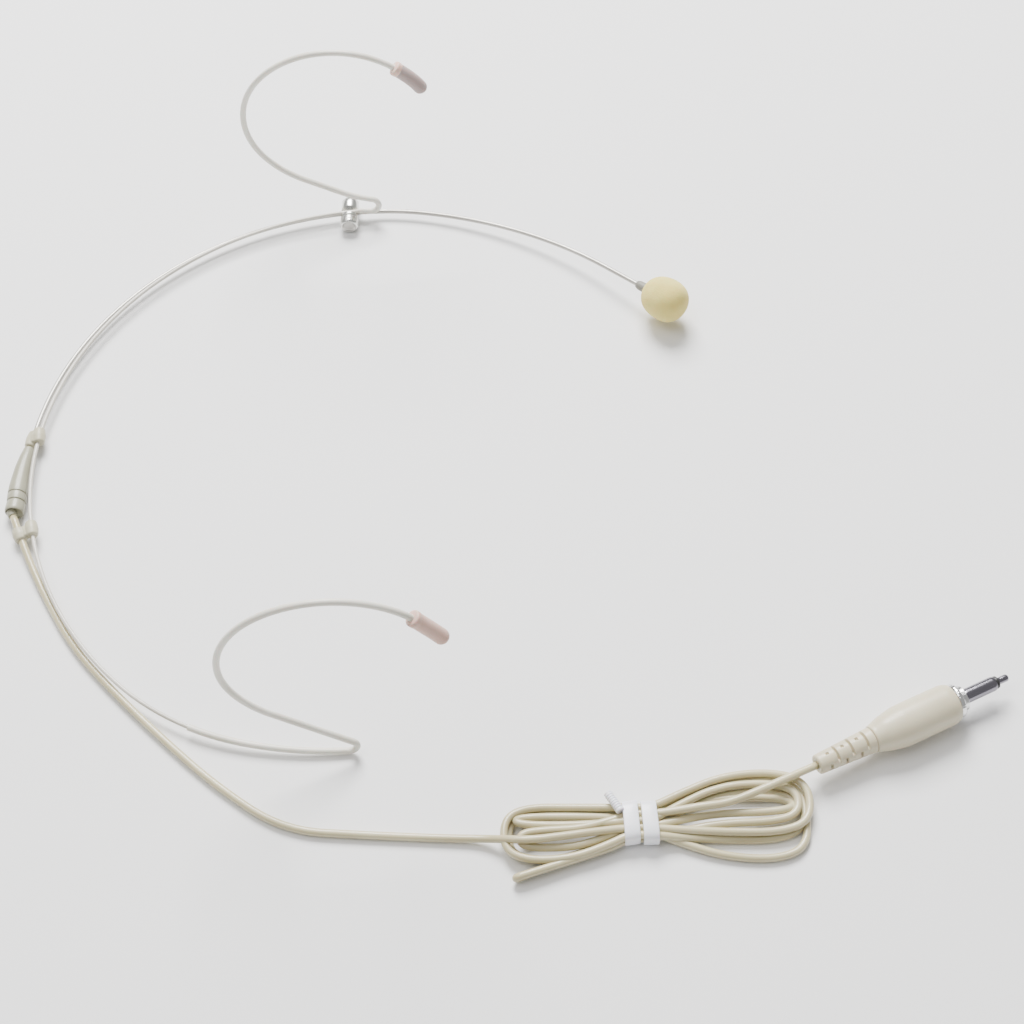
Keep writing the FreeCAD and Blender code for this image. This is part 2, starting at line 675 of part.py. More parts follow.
tie_centre = Vector(size("tie_x"), size("tie_y"), 0)
tie_turn = Rotation(UP, size("tie_turn"))


def tie_box(label, length, width, height, centre_along, bottom):
    """Part box square to the hank's waist, centred across it."""
    box = doc.addObject("Part::Box", label)
    for key, expression in (("Length", length), ("Width", width), ("Height", height)):
        box.setExpression(key, bound(expression))
    corner = Vector(centre_along - value_of(length) / 2, -value_of(width) / 2, bottom)
    box.Placement = Placement(tie_centre + tie_turn.multVec(corner), tie_turn)
    return box


hank_curve = Part.BSplineCurve()
hank_curve.interpolate([Vector(x, y, 0) for x, y in HANK_OUTLINE], PeriodicFlag=True)
hank_face = Part.Face(Part.Wire(hank_curve.toShape()))
hank_blank = doc.addObject("Part::Feature", "hank_blank")
hank_blank.Shape = hank_face.extrude(UP * size("hank_height"))
waist_room = tie_box("waist_room", "tie_room", "4*hank_waist", "tie_thickness", 0, 0)
waist_ends = cut("waist_sides", tie_box("waist_outer", "tie_room", "4*hank_waist",
                                        "2*hank_height", 0, 0),
                 tie_box("waist_inner", "2*tie_room", "hank_waist", "4*hank_height", 0, -1))
hank = cut("cable_hank", hank_blank, fuse("waist_cut", [waist_room, waist_ends]))
keep(hank, "cable_hank")
for side, offset in (("left", -0.5), ("right", 0.5)):
    middle = offset * size("tie_pitch")
    outer = tie_box(f"band_{side}_outer", "tie_band_width", "hank_waist + 2*tie_thickness",
                    "hank_height + tie_thickness", middle, 0)
    inner = tie_box(f"band_{side}_inner", "2*tie_band_width", "hank_waist",
                    "hank_height - tie_thickness", middle, size("tie_thickness"))
    keep(cut(f"tie_band_{side}", outer, inner), f"tie_band_{side}")
stub_start = tie_centre + tie_turn.multVec(Vector(-2.2, 2.6, 0))
stub_start.z = size("hank_height") + size("tie_thickness") + size("tie_stub_radius") + 0.02
keep(cylinder("tie_stub", "tie_stub_radius", "tie_stub_length",
              upright(stub_start, heading(size("tie_stub_heading")))), "tie_stub")

# ------------------------------------------------------------------- plug

plug_point = Vector(size("plug_x"), size("plug_y"), size("plug_height"))
plug_way = heading(size("plug_heading"))
plug_axis = along(plug_point, plug_way)


def relief_profile():
    """Tapered sleeve with three ring grooves round it."""
    corners = [("0", "relief_bore"), ("0", "relief_back_radius")]
    for place, radius in (("relief_ring_a", "relief_radius_a"),
                          ("relief_ring_b", "relief_radius_b"),
                          ("relief_ring_c", "relief_radius_c")):
        corners += [
            (place, radius), (place, radius + " - relief_groove"),
            (place + " + relief_groove_width", radius + " - relief_groove"),
            (place + " + relief_groove_width", radius),
        ]
    corners += [("relief_length", "relief_front_radius"), ("relief_length", "relief_bore")]
    return corners


turned("plug_strain_relief", relief_profile(), plug_axis)
turned("plug_cable_end", [
    ("0", "0"), ("0", "cable_radius"), ("relief_length + cable_end_reach", "cable_radius"),
    ("relief_length + cable_end_reach", "0"),
], plug_axis)
turned("plug_body", [
    ("relief_length", "relief_bore"), ("relief_length", "plug_neck_radius"),
    ("relief_length + plug_waist", "plug_waist_radius"),
    ("relief_length + plug_flare", "plug_radius"),
    ("relief_length + plug_length - plug_nose", "plug_radius"),
    ("relief_length + plug_length", "plug_front_radius"),
    ("relief_length + plug_length", "lock_bore"),
    ("relief_length + plug_length - plug_front_wall", "lock_bore"),
    ("relief_length + plug_length - plug_front_wall", "plug_bore"),
    ("relief_length + plug_rear_wall", "plug_bore - plug_bore_taper"),
    ("relief_length + plug_rear_wall", "relief_bore"),
], plug_axis)
turned("crimp_sleeve", [
    ("crimp_start", "relief_bore"), ("crimp_start", "crimp_radius"),
    ("crimp_start + crimp_length", "crimp_radius"),
    ("crimp_start + crimp_length", "relief_bore"),
], plug_axis)
turned("plug_core", [
    ("crimp_start + crimp_length", "0"),
    ("crimp_start + crimp_length", "plug_core_radius"),
    ("relief_length + plug_length - plug_front_wall - 0.1", "plug_core_radius"),
    ("relief_length + plug_length - plug_front_wall - 0.1", "0"),
], plug_axis)
turned("jack_root", [
    ("relief_length + plug_length - plug_front_wall - 0.1", "0"),
    ("relief_length + plug_length - plug_front_wall - 0.1", "jack_root_radius"),
    ("jack_start", "jack_root_radius"), ("jack_start", "0"),
], plug_axis)
lock_ring_axis = along(plug_point + plug_way * (value_of("relief_length + plug_length")
                                                + size("lock_gap")), plug_way)
turned("lock_ring", [
    ("0", "lock_bore"), ("0", "lock_flange_radius"),
    ("lock_flange_length", "lock_flange_radius"),
    ("lock_flange_length", "lock_thread_radius"),
    ("lock_flange_length + lock_thread_length", "lock_thread_radius"),
    ("lock_flange_length + lock_thread_length", "lock_bore"),
], lock_ring_axis)
turned("jack_sleeve", [
    ("jack_start", "0"), ("jack_start", "jack_sleeve_radius"),
    ("jack_start + jack_sleeve_length", "jack_sleeve_radius"),
    ("jack_start + jack_sleeve_length", "jack_bore"),
    ("jack_start + 1.0", "jack_bore"), ("jack_start + 1.0", "0"),
], plug_axis)
turned("jack_insulator", [
    ("jack_start + jack_sleeve_length", "jack_rod_radius"),
    ("jack_start + jack_sleeve_length", "jack_ring_radius"),
    ("jack_start + jack_sleeve_length + jack_ring_length", "jack_ring_radius"),
    ("jack_start + jack_sleeve_length + jack_ring_length", "jack_rod_radius"),
], plug_axis)
turned("jack_tip", [
    ("jack_start + 1.4", "0"), ("jack_start + 1.4", "jack_rod_radius"),
    ("jack_start + jack_sleeve_length + jack_tip_length - jack_tip_round", "jack_rod_radius"),
    ("jack_start + jack_sleeve_length + jack_tip_length",
     "jack_rod_radius - jack_tip_round"),
    ("jack_start + jack_sleeve_length + jack_tip_length", "0"),
], plug_axis)

doc.recompute()
for thing in doc.Objects:
    if "Invalid" in thing.State or "Error" in thing.State:
        raise RuntimeError(thing.Label + " did not compute")
os.makedirs("parts", exist_ok=True)
for thing in NODES:
    if thing.Shape.isNull() or not thing.Shape.isValid():
        raise RuntimeError(thing.Label + " has no valid shape")
    box = thing.Shape.BoundBox
    print(f"{thing.Label:22s} vol {thing.Shape.Volume:9.2f} "
          f"x {box.XMin:.2f} {box.XMax:.2f} y {box.YMin:.2f} {box.YMax:.2f} "
          f"z {box.ZMin:.2f} {box.ZMax:.2f}")
    thing.Shape.exportStep(f"parts/{thing.Label}.step")
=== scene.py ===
import math

import bpy
from mathutils import Matrix, Vector, noise


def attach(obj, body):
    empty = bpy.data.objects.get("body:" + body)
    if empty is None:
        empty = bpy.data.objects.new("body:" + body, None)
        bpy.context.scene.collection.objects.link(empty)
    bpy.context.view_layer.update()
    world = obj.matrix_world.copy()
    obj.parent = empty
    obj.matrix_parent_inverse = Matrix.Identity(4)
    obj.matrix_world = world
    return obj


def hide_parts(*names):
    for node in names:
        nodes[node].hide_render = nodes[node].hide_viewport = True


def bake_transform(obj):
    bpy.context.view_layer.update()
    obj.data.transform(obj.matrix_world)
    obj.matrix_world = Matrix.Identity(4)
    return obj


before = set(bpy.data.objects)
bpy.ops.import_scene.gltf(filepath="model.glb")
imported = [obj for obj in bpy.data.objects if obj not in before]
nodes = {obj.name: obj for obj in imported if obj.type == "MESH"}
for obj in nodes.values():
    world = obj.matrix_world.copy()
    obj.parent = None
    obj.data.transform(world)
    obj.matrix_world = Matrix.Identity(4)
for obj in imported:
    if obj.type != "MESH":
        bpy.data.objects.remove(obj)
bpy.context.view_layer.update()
MM = 0.001
DOWN_VIEW = math.radians(54)

# ------------------------------------------------------------------ camera

camera_data = bpy.data.cameras.new("camera")
camera_data.lens = 77.34
camera_data.sensor_width = 36.0
camera_data.dof.use_dof = False
camera = bpy.data.objects.new("camera", camera_data)
camera.location = Vector((39.4, -336.3, 440.24)) * MM
camera.rotation_euler = (math.pi / 2 - DOWN_VIEW, 0, 0)
bpy.context.scene.collection.objects.link(camera)
bpy.context.scene.camera = camera

# --------------------------------------------------------------- materials


def finish_of(name, light, dark, roughness, metallic=0.0, grain=600.0, bump=0.15,
              spread=0.06, coat=0.0, soft=0.0, stretch=(1, 1, 1), depth=0.00004):
    """Procedural finish: two tones, uneven gloss and a fine surface grain."""
    material = bpy.data.materials.new(name)
    material.use_nodes = True
    tree = material.node_tree
    shader = tree.nodes["Principled BSDF"]
    shader.inputs["Metallic"].default_value = metallic
    shader.inputs["Coat Weight"].default_value = coat
    shader.inputs["Coat Roughness"].default_value = 0.12
    shader.inputs["Subsurface Weight"].default_value = soft
    shader.inputs["Subsurface Scale"].default_value = 0.0008
    place = tree.nodes.new("ShaderNodeTexCoord")
    mapping = tree.nodes.new("ShaderNodeMapping")
    mapping.inputs["Scale"].default_value = stretch
    tree.links.new(place.outputs["Object"], mapping.inputs["Vector"])
    broad = tree.nodes.new("ShaderNodeTexNoise")
    broad.inputs["Scale"].default_value = grain * 0.12
    broad.inputs["Detail"].default_value = 4
    fine = tree.nodes.new("ShaderNodeTexNoise")
    fine.inputs["Scale"].default_value = grain * 3
    fine.inputs["Detail"].default_value = 6
    for texture in (broad, fine):
        tree.links.new(mapping.outputs["Vector"], texture.inputs["Vector"])
    tone = tree.nodes.new("ShaderNodeMix")
    tone.data_type = "RGBA"
    tone.inputs["A"].default_value = (*dark, 1)
    tone.inputs["B"].default_value = (*light, 1)
    level = tree.nodes.new("ShaderNodeMapRange")
    level.inputs["From Min"].default_value = 0.32
    level.inputs["From Max"].default_value = 0.62
    tree.links.new(broad.outputs["Fac"], level.inputs["Value"])
    tree.links.new(level.outputs["Result"], tone.inputs["Factor"])
    tree.links.new(tone.outputs["Result"], shader.inputs["Base Color"])
    gloss = tree.nodes.new("ShaderNodeMapRange")
    gloss.inputs["To Min"].default_value = roughness - spread
    gloss.inputs["To Max"].default_value = roughness + spread
    tree.links.new(fine.outputs["Fac"], gloss.inputs["Value"])
    tree.links.new(gloss.outputs["Result"], shader.inputs["Roughness"])
    relief = tree.nodes.new("ShaderNodeBump")
    relief.inputs["Strength"].default_value = bump
    relief.inputs["Distance"].default_value = depth
    tree.links.new(fine.outputs["Fac"], relief.inputs["Height"])
    tree.links.new(relief.outputs["Normal"], shader.inputs["Normal"])
    return material


def foam_finish():
    """Open-cell foam: pores from cells of one size over a cream body."""
    material = finish_of("foam_cells", (0.74, 0.63, 0.21), (0.60, 0.49, 0.13), 0.95,
                         spread=0.03, grain=900.0, bump=0.4, soft=0.25)
    tree = material.node_tree
    shader = tree.nodes["Principled BSDF"]
    shader.inputs["Sheen Weight"].default_value = 0.05
    cells = tree.nodes.new("ShaderNodeTexVoronoi")
    cells.inputs["Scale"].default_value = 2600
    place = next(n for n in tree.nodes if n.type == "TEX_COORD")
    tree.links.new(place.outputs["Object"], cells.inputs["Vector"])
    relief = next(n for n in tree.nodes if n.type == "BUMP")
    relief.inputs["Distance"].default_value = 0.00018
    tree.links.new(cells.outputs["Distance"], relief.inputs["Height"])
    return material


CREAM = finish_of("cable_jacket_pvc", (0.56, 0.50, 0.31), (0.44, 0.385, 0.22), 0.34,
                  grain=300.0, coat=0.3, soft=0.1)
PLUG = finish_of("plug_shell_satin", (0.62, 0.56, 0.40), (0.54, 0.48, 0.33), 0.42,
                 grain=500.0, coat=0.12, soft=0.1)
HOUSING = finish_of("housing_beige", (0.31, 0.30, 0.22), (0.25, 0.24, 0.165), 0.4,
                    grain=500.0, coat=0.15)
KEEPER = finish_of("keeper_beige", (0.50, 0.47, 0.34), (0.40, 0.37, 0.25), 0.45, grain=700.0,
                   coat=0.1)
WIRE = finish_of("neckband_coated", (0.62, 0.59, 0.52), (0.48, 0.45, 0.38), 0.34,
                 grain=400.0, coat=0.25)
SLEEVE = finish_of("hook_tubing", (0.74, 0.71, 0.63), (0.62, 0.59, 0.50), 0.4, grain=500.0,
                   soft=0.1, coat=0.1)
BOOM = finish_of("boom_satin", (0.50, 0.48, 0.44), (0.38, 0.36, 0.32), 0.32, metallic=0.5,
                 grain=500.0)
TIP = finish_of("ear_tip_silicone", (0.66, 0.45, 0.38), (0.56, 0.36, 0.29), 0.5, grain=500.0,
                soft=0.2)
FAR_TIP = finish_of("ear_tip_grey", (0.40, 0.31, 0.29), (0.32, 0.24, 0.22), 0.5,
                    grain=500.0, soft=0.2)
COLLAR = finish_of("ear_collar_silicone", (0.68, 0.48, 0.40), (0.58, 0.39, 0.32), 0.5,
                   grain=500.0, soft=0.3)
STEEL = finish_of("clamp_steel", (0.80, 0.80, 0.77), (0.62, 0.62, 0.58), 0.28, metallic=1.0,
                  grain=300.0, stretch=(1, 0.1, 1), bump=0.1)
# Darker copy of the clamp steel: painted shade on the knob's front face, which is turned away
# from the light.
PAINTED_SHADE_STEEL = finish_of("knob_face_painted_shade", (0.62, 0.60, 0.56), (0.48, 0.46, 0.43), 0.35,
                       metallic=1.0, grain=400.0)
CHROME = finish_of("lock_ring_plate", (0.80, 0.80, 0.79), (0.66, 0.66, 0.65), 0.13,
                   metallic=1.0, grain=300.0, bump=0.05)
JACK = finish_of("jack_plate", (0.26, 0.25, 0.28), (0.17, 0.16, 0.19), 0.2, metallic=1.0,
                 grain=300.0, bump=0.05)
# Black for the insulator, gasket, splice and plug core; on the housing's end cap it is
# painted shade of the end face.
BLACK = finish_of("black_parts_and_painted_shade", (0.03, 0.03, 0.03), (0.015, 0.015, 0.015), 0.4)
BRASS = finish_of("brass_turned", (0.62, 0.46, 0.22), (0.48, 0.34, 0.15), 0.3, metallic=1.0)
BOOT = finish_of("boot_grey", (0.26, 0.25, 0.21), (0.19, 0.18, 0.15), 0.55)
TIE_WHITE = finish_of("tie_white", (0.86, 0.86, 0.90), (0.78, 0.78, 0.84), 0.35, grain=300.0,
                      coat=0.2, soft=0.1)
FOAM = foam_finish()

NODE_FINISH = {
    "neckband_wire": WIRE, "right_hook_core": WIRE, "left_hook_core": WIRE,
    "right_hook_sleeve": SLEEVE, "left_hook_sleeve": SLEEVE,
    "clamp_plunger": STEEL, "boom_tube": BOOM, "boom_lead": CREAM,
    "capsule_shell": CHROME, "microphone_capsule": CHROME, "capsule_gasket": BLACK,
    "capsule_grille": STEEL, "boom_ferrule": BRASS, "lead_splice": BLACK,
    # The housing's end cap in black is painted shade.
    "housing_end_cap": BLACK, "crimp_sleeve": BRASS, "plug_core": BLACK,
    "plug_cable_end": CREAM, "jack_root": CHROME, "cable_gland": HOUSING,
}
for node_name, finish in NODE_FINISH.items():
    mesh = nodes[node_name].data
    mesh.materials.clear()
    mesh.materials.append(finish)

# ------------------------------------------------------------ mesh helpers


def piece(name, vertices, faces, finish, body, replaced=()):
    mesh = bpy.data.meshes.new(name)
    mesh.from_pydata(vertices, [], faces)
    mesh.update()
    mesh.polygons.foreach_set("use_smooth", [True] * len(mesh.polygons))
    mesh.materials.append(finish)
    obj = bpy.data.objects.new(name, mesh)
    bpy.context.scene.collection.objects.link(obj)
    if body:
        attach(obj, body)
    if replaced:
        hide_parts(*replaced)
    return obj


def frame_along(direction, up=(0, 0, 1)):
    """Columns x, y, z with x along the direction and z as near to up as it can be."""
    x_axis = Vector(direction).normalized()
    y_axis = Vector(up).cross(x_axis).normalized()
    return Matrix((x_axis, y_axis, x_axis.cross(y_axis))).transposed()


def rounded(profile, radius, steps=4):
    """The same corners, each eased by a small arc."""
    result = [profile[0]]
    for before, corner, after in zip(profile, profile[1:], profile[2:]):
        a, b, c = Vector(before), Vector(corner), Vector(after)
        reach = min(radius, (b - a).length * 0.45, (c - b).length * 0.45)
        start = b + (a - b).normalized() * reach
        end = b + (c - b).normalized() * reach
        for step in range(steps + 1):
            t = step / steps
            point = start * (1 - t) ** 2 + b * 2 * t * (1 - t) + end * t ** 2
            result.append((point.x, point.y))
    result.append(profile[-1])
    return result


def lathe(name, profile, point, direction, finish, body, replaced=(), sides=72,
          shape=None, bored=False):
    """Turned piece: profile of (along, radius) in mm about an axis in the row frame.

    A bored piece is open right through, its last ring joined to its first."""
    axes = frame_along(direction)
    origin = Vector(point) * MM
    vertices = []
    for along, radius in profile:
        for side in range(sides):
            angle = 2 * math.pi * side / sides
            r = radius if shape is None else shape(along, radius, angle)
            local = Vector((along, r * math.cos(angle), r * math.sin(angle))) * MM
            vertices.append(origin + axes @ local)
    rings = len(profile)
    faces = []
    for ring in range(rings if bored else rings - 1):
        ahead = (ring + 1) % rings
        for side in range(sides):
            following = (side + 1) % sides
            faces.append((ring * sides + side, ahead * sides + side,
                          ahead * sides + following, ring * sides + following))
    if not bored:
        faces.append(tuple(range(sides)))
        faces.append(tuple(reversed(range((rings - 1) * sides, rings * sides))))
    return piece(name, vertices, faces, finish, body, replaced)


def sweep(points, radius_at, sides=20):
    """Vertices and faces of a tube along points, radius as a function of 0..1."""
    count = len(points)
    tangents = []
    for index in range(count):
        tangents.append((points[min(index + 1, count - 1)]
                         - points[max(index - 1, 0)]).normalized())
    normal = Vector((0, 0, 1)).cross(tangents[0])
    if normal.length < 1e-6:
        normal = Vector((1, 0, 0))
    normal.normalize()
    vertices = []
    for index in range(count):
        tangent = tangents[index]
        normal = (normal - tangent * normal.dot(tangent)).normalized()
        other = tangent.cross(normal)
        radius = radius_at(index / (count - 1))
        for side in range(sides):
            angle = 2 * math.pi * side / sides
            vertices.append(points[index] + (normal * math.cos(angle)
                                             + other * math.sin(angle)) * radius)
    faces = []
    for ring in range(count - 1):
        for side in range(sides):
            following = (side + 1) % sides
            faces.append((ring * sides + side, ring * sides + following,
                          (ring + 1) * sides + following, (ring + 1) * sides + side))
    faces.append(tuple(reversed(range(sides))))
    faces.append(tuple(range((count - 1) * sides, count * sides)))
    return vertices, faces


def spline_points(name, controls, resolution=10):
    """Points on the order-3 NURBS spline of these control points, given in mm."""
    curve = bpy.data.curves.new(name, "CURVE")
    curve.dimensions = "3D"
    curve.resolution_u = resolution
    spline = curve.splines.new("NURBS")
    spline.points.add(len(controls) - 1)
    for target, control in zip(spline.points, controls):
        target.co = (*(Vector(control) * MM), 1)
    spline.order_u = 3
    spline.use_endpoint_u = True
    guide = bpy.data.objects.new(name, curve)
    mesh = bpy.data.meshes.new_from_object(guide)
    points = [vertex.co.copy() for vertex in mesh.vertices]
    bpy.data.meshes.remove(mesh)
    bpy.data.objects.remove(guide)
    bpy.data.curves.remove(curve)
    return points


# ------------------------------------------------------------------- cable

CABLE_ROUTE = [
    (-83.1, -19.7, 2.5),
    (-80.1, -26.8, 2.1),
    (-76.5, -34.7, 1.3),
    (-72.0, -43.5, 1.0),
    (-64.4, -56.5, 1.0),
    (-54.7, -67.7, 1.0),
    (-41.6, -80.9, 1.0),
    (-27.3, -94.1, 1.0),
    (-11.6, -105.1, 1.0),
    (6.2, -106.2, 1.0),
    (23.2, -107.0, 1.0),
]
TAIL_ROUTE = [
    (87.8, -100.4, 5.2),
    (96.4, -96.6, 5.4),
    (102.1, -93.7, 5.2),
    (108.2, -90.7, 5.05),
]
TIE = (67.9, -104.0)
LOW, HIGH = 1.62, 3.42
# Each pass through the tie: offset across it and height, in the order wound.
PASSES = [(-1.7, HIGH), (3.4, HIGH), (-3.4, HIGH), (3.4, LOW), (0.0, LOW), (-1.7, LOW),
          (-3.4, LOW), (0.1, HIGH), (1.7, LOW), (-0.8, 2.5), (1.8, HIGH)]
# Loops beyond the tie: far end, upper and lower side, height going out and coming back.
RIGHT_LOOPS = [(106.2, -91.2, -106.4, 2.7, 2.8), (105.2, -91.7, -107.4, 0.95, 1.0),
               (105.4, -95.0, -112.2, 0.95, 0.92), (103.6, -93.9, -103.8, 2.7, 2.7),
               (102.4, -96.6, -101.4, 1.0, 2.7)]
LEFT_LOOPS = [(37.6, -100.2, -113.4, 2.7, 2.7), (38.6, -100.7, -112.6, 0.95, 0.95),
              (40.3, -116.9, -117.5, 0.92, 2.5), (40.4, -102.4, -104.9, 3.0, 2.4),
              (41.2, -106.2, -110.4, 2.7, 3.2)]
FOLDED_END = 40.3


def hank_loop(start, end, loop):
    """Control points from one pass round a loop's far end to the next pass."""
    far, upper, lower, z_out, z_back = loop
    tie_x, tie_y = TIE
    reach = far - tie_x
    first, second = (upper, lower) if start[0] > end[0] else (lower, upper)
    out, back = [], []
    spreads = (0.22, 0.5, 0.82) if far == FOLDED_END else (0.35, 0.9, 1.0)
    for share, spread in zip((0.22, 0.5, 0.82), spreads):
        rise = min(1.0, spread + 0.1)
        out.append((tie_x + reach * share,
                    (tie_y + start[0]) * (1 - spread) + first * spread,
                    start[1] * (1 - rise) + z_out * rise))
        back.append((tie_x + reach * share,
                     (tie_y + end[0]) * (1 - spread) + second * spread,
                     end[1] * (1 - rise) + z_back * rise))
    out.append((far, first + (second - first) * 0.2, z_out))
    back.append((far, first + (second - first) * 0.8, z_back))
    return out + back[::-1]


def hank_route():
    tie_x, tie_y = TIE
    points = [(33.0, -107.3, 1.3), (38.5, -108.6, 3.6), (43.5, -109.4, 4.8),
              (50.5, -108.4, 4.7), (58.0, -107.0, 4.2)]
    for index, (offset, height) in enumerate(PASSES):
        step = 2.6 if index % 2 == 0 else -2.6
        points.append((tie_x - step, tie_y + offset, height))
        points.append((tie_x + step, tie_y + offset, height))
        if index < len(PASSES) - 1:
            loops = LEFT_LOOPS if index % 2 else RIGHT_LOOPS
            points += hank_loop(PASSES[index], PASSES[index + 1], loops[index // 2])
    points.append((76.5, -101.8, 4.4))
    points.append((82.0, -101.2, 5.3))
    return points


cord_controls = CABLE_ROUTE + hank_route() + TAIL_ROUTE
cord_points = spline_points("cable_line", cord_controls)
CABLE_RADIUS = 0.9 * MM
vertices, faces = sweep(cord_points, lambda share: CABLE_RADIUS, sides=24)
cable = piece("cable", vertices, faces, CREAM, None,
              ("cable_run", "cable_hank", "cable_tail"))
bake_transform(cable)

# --------------------------------------------------------------------- tie


def tie_band(name, centre_x, slant, node, wide=3.5):
    """Flat strap round the bundle, with eased edges."""
    across, tall, thick = 4.95, 2.62, 0.7
    turn = Matrix.Rotation(math.radians(4 + slant), 3, "Z")
    section = rounded([(-wide / 2, 0), (-wide / 2, thick), (0, thick * 1.08),
                       (wide / 2, thick), (wide / 2, 0)], 0.25, 3)
    steps = 72
    vertices = []
    for step in range(steps):
        angle = 2 * math.pi * step / steps
        c, s = math.cos(angle), math.sin(angle)
        power = 0.52
        y = math.copysign(abs(c) ** power, c) * (across - thick)
        z = math.copysign(abs(s) ** power, s) * (tall - thick)
        out = Vector((0, c, s)).normalized()
        for along, height in section:
            local = turn @ (Vector((along + slant * 0.02 * y, y, 0)) + out * height * 1.0)
            vertices.append(Vector((centre_x + local.x, TIE[1] + local.y,
                                    2.65 + z + local.z)) * MM)
    count = len(section)
    faces = []
    for step in range(steps):
        following = (step + 1) % steps
        for index in range(count - 1):
            faces.append((step * count + index, step * count + index + 1,
                          following * count + index + 1, following * count + index))
        faces.append((step * count + count - 1, step * count,
                      following * count, following * count + count - 1))
    return piece(name, vertices, faces, TIE_WHITE, "headband", (node,))


band_left = tie_band("tie_band_left_strap", 65.9, 6.0, "tie_band_left")
band_right = tie_band("tie_band_right_strap", 70.1, -2.0, "tie_band_right")
stub_profile = [(0, 0.15), (0, 0.95)]
for rib in range(8):
    base = 0.3 + rib * 0.6
    stub_profile += [(base, 1.02), (base + 0.32, 1.02), (base + 0.4, 0.9),
                     (base + 0.52, 0.9)]
stub_profile += [(5.3, 0.98), (5.4, 0.85), (5.4, 0.05)]
stub = lathe("tie_stub_ribbed", rounded(stub_profile, 0.1, 2), (63.6, -102.4, 5.0),
             (-0.53, 0.85, 0.0), TIE_WHITE, "headband", ("tie_stub",),
             sides=32)

# -------------------------------------------------------------------- plug

PLUG_POINT = (108.2, -90.7, 5.05)
PLUG_WAY = (0.892586, 0.450878, 0.0)
RELIEF_LENGTH = 14.6
GROOVES = (4.7, 8.4, 12.3)
SLOTS = (2.7, 6.6, 10.4)


def dip(gap, half):
    """1 at the middle of a cut, 0 outside its half width."""
    return max(0.0, 1 - (abs(gap) / half) ** 4)


def apart(angle, place):
    """Degrees between an angle in radians and a place in degrees."""
    return (math.degrees(angle) - place + 180) % 360 - 180


def relief_shape(along, radius, angle):
    """Ring grooves bridged at two sides, with slots and dimples between them."""
    depth = 0.0
    for place in GROOVES:
        bridge = max(dip(apart(angle, side), 36) for side in (178, 358))
        depth = max(depth, 1.0 * dip(along - place, 0.33) * (1 - bridge))
    for place in SLOTS:
        slot = max(dip(apart(angle, side), 18) for side in (166, 346))
        dimple = max(dip(apart(angle, side), 9) for side in (78, 258))
        depth = max(depth, 1.0 * dip(along - place, 0.36) * slot,
                    0.6 * dip(along - place, 0.4) * dimple)
    return radius - depth


relief_profile = [(0.0, 1.0), (0.0, 1.9), (0.12, 2.2), (0.35, 2.32)]
station = 0.5
while station < RELIEF_LENGTH - 0.3:
    relief_profile.append((station, 2.32 + 0.68 * station / RELIEF_LENGTH))
    station += 0.06
relief_profile += [(RELIEF_LENGTH - 0.25, 3.0), (RELIEF_LENGTH - 0.05, 2.9),
                   (RELIEF_LENGTH, 2.7), (RELIEF_LENGTH, 1.0)]
relief = lathe("plug_relief", relief_profile, PLUG_POINT, PLUG_WAY, PLUG, "headband",
               ("plug_strain_relief",), sides=144, shape=relief_shape,
               bored=True)

shell_profile = rounded([
    (RELIEF_LENGTH + 0.05, 1.1), (RELIEF_LENGTH + 0.05, 3.2), (RELIEF_LENGTH + 0.9, 3.35),
    (RELIEF_LENGTH + 3.2, 4.15), (RELIEF_LENGTH + 7.5, 4.93), (RELIEF_LENGTH + 12.0, 4.95),
    (RELIEF_LENGTH + 20.3, 4.9), (RELIEF_LENGTH + 21.75, 4.45), (RELIEF_LENGTH + 21.75, 3.9),
    (RELIEF_LENGTH + 21.2, 3.75), (RELIEF_LENGTH + 21.2, 2.1)], 0.9, 6)
shell = lathe("plug_shell_barrel", shell_profile, PLUG_POINT, PLUG_WAY, PLUG, "headband",
              ("plug_body",), sides=120)

lock_profile = [(36.5, 2.08), (36.5, 3.75), (36.62, 4.05), (37.55, 4.1), (37.8, 3.95),
                (37.85, 3.2), (37.92, 3.02)]
for turn in range(4):
    base = 37.98 + turn * 0.32
    lock_profile += [(base, 2.82), (base + 0.1, 3.0), (base + 0.2, 3.0)]
lock_profile += [(39.26, 2.8), (39.28, 2.08)]


def knurled(along, radius, angle):
    """Fine straight knurl on the flange's rim."""
    if 36.7 < along < 37.7 and radius > 3.9:
        return radius - 0.07 * (0.5 + 0.5 * math.cos(40 * angle))
    return radius


lock = lathe("lock_ring_threaded", lock_profile, PLUG_POINT, PLUG_WAY, CHROME, "lock",
             ("lock_ring",), sides=240, shape=knurled, bored=True)

sleeve = lathe("jack_sleeve_turned", rounded([
    (39.5, 0.3), (39.5, 1.72), (40.2, 1.75), (47.4, 1.75), (48.0, 1.6), (48.0, 0.3)],
    0.25), PLUG_POINT, PLUG_WAY, JACK, "headband", ("jack_sleeve",), sides=64)
ring = lathe("jack_insulator_ring", rounded([
    (48.0, 0.94), (48.0, 1.5), (48.35, 1.54), (48.7, 1.46), (48.7, 0.94)], 0.12),
    PLUG_POINT, PLUG_WAY, BLACK, "headband", ("jack_insulator",), sides=48,
    bored=True)
tip = lathe("jack_tip_turned", rounded([
    (48.0, 0.2), (48.0, 0.93), (49.0, 0.92), (49.3, 0.84), (50.4, 0.88), (51.3, 0.86),
    (51.7, 0.5), (51.7, 0.02)], 0.2), PLUG_POINT, PLUG_WAY, JACK, "headband",
    ("jack_tip",), sides=48)

# ---------------------------------------------------------------- ear tips


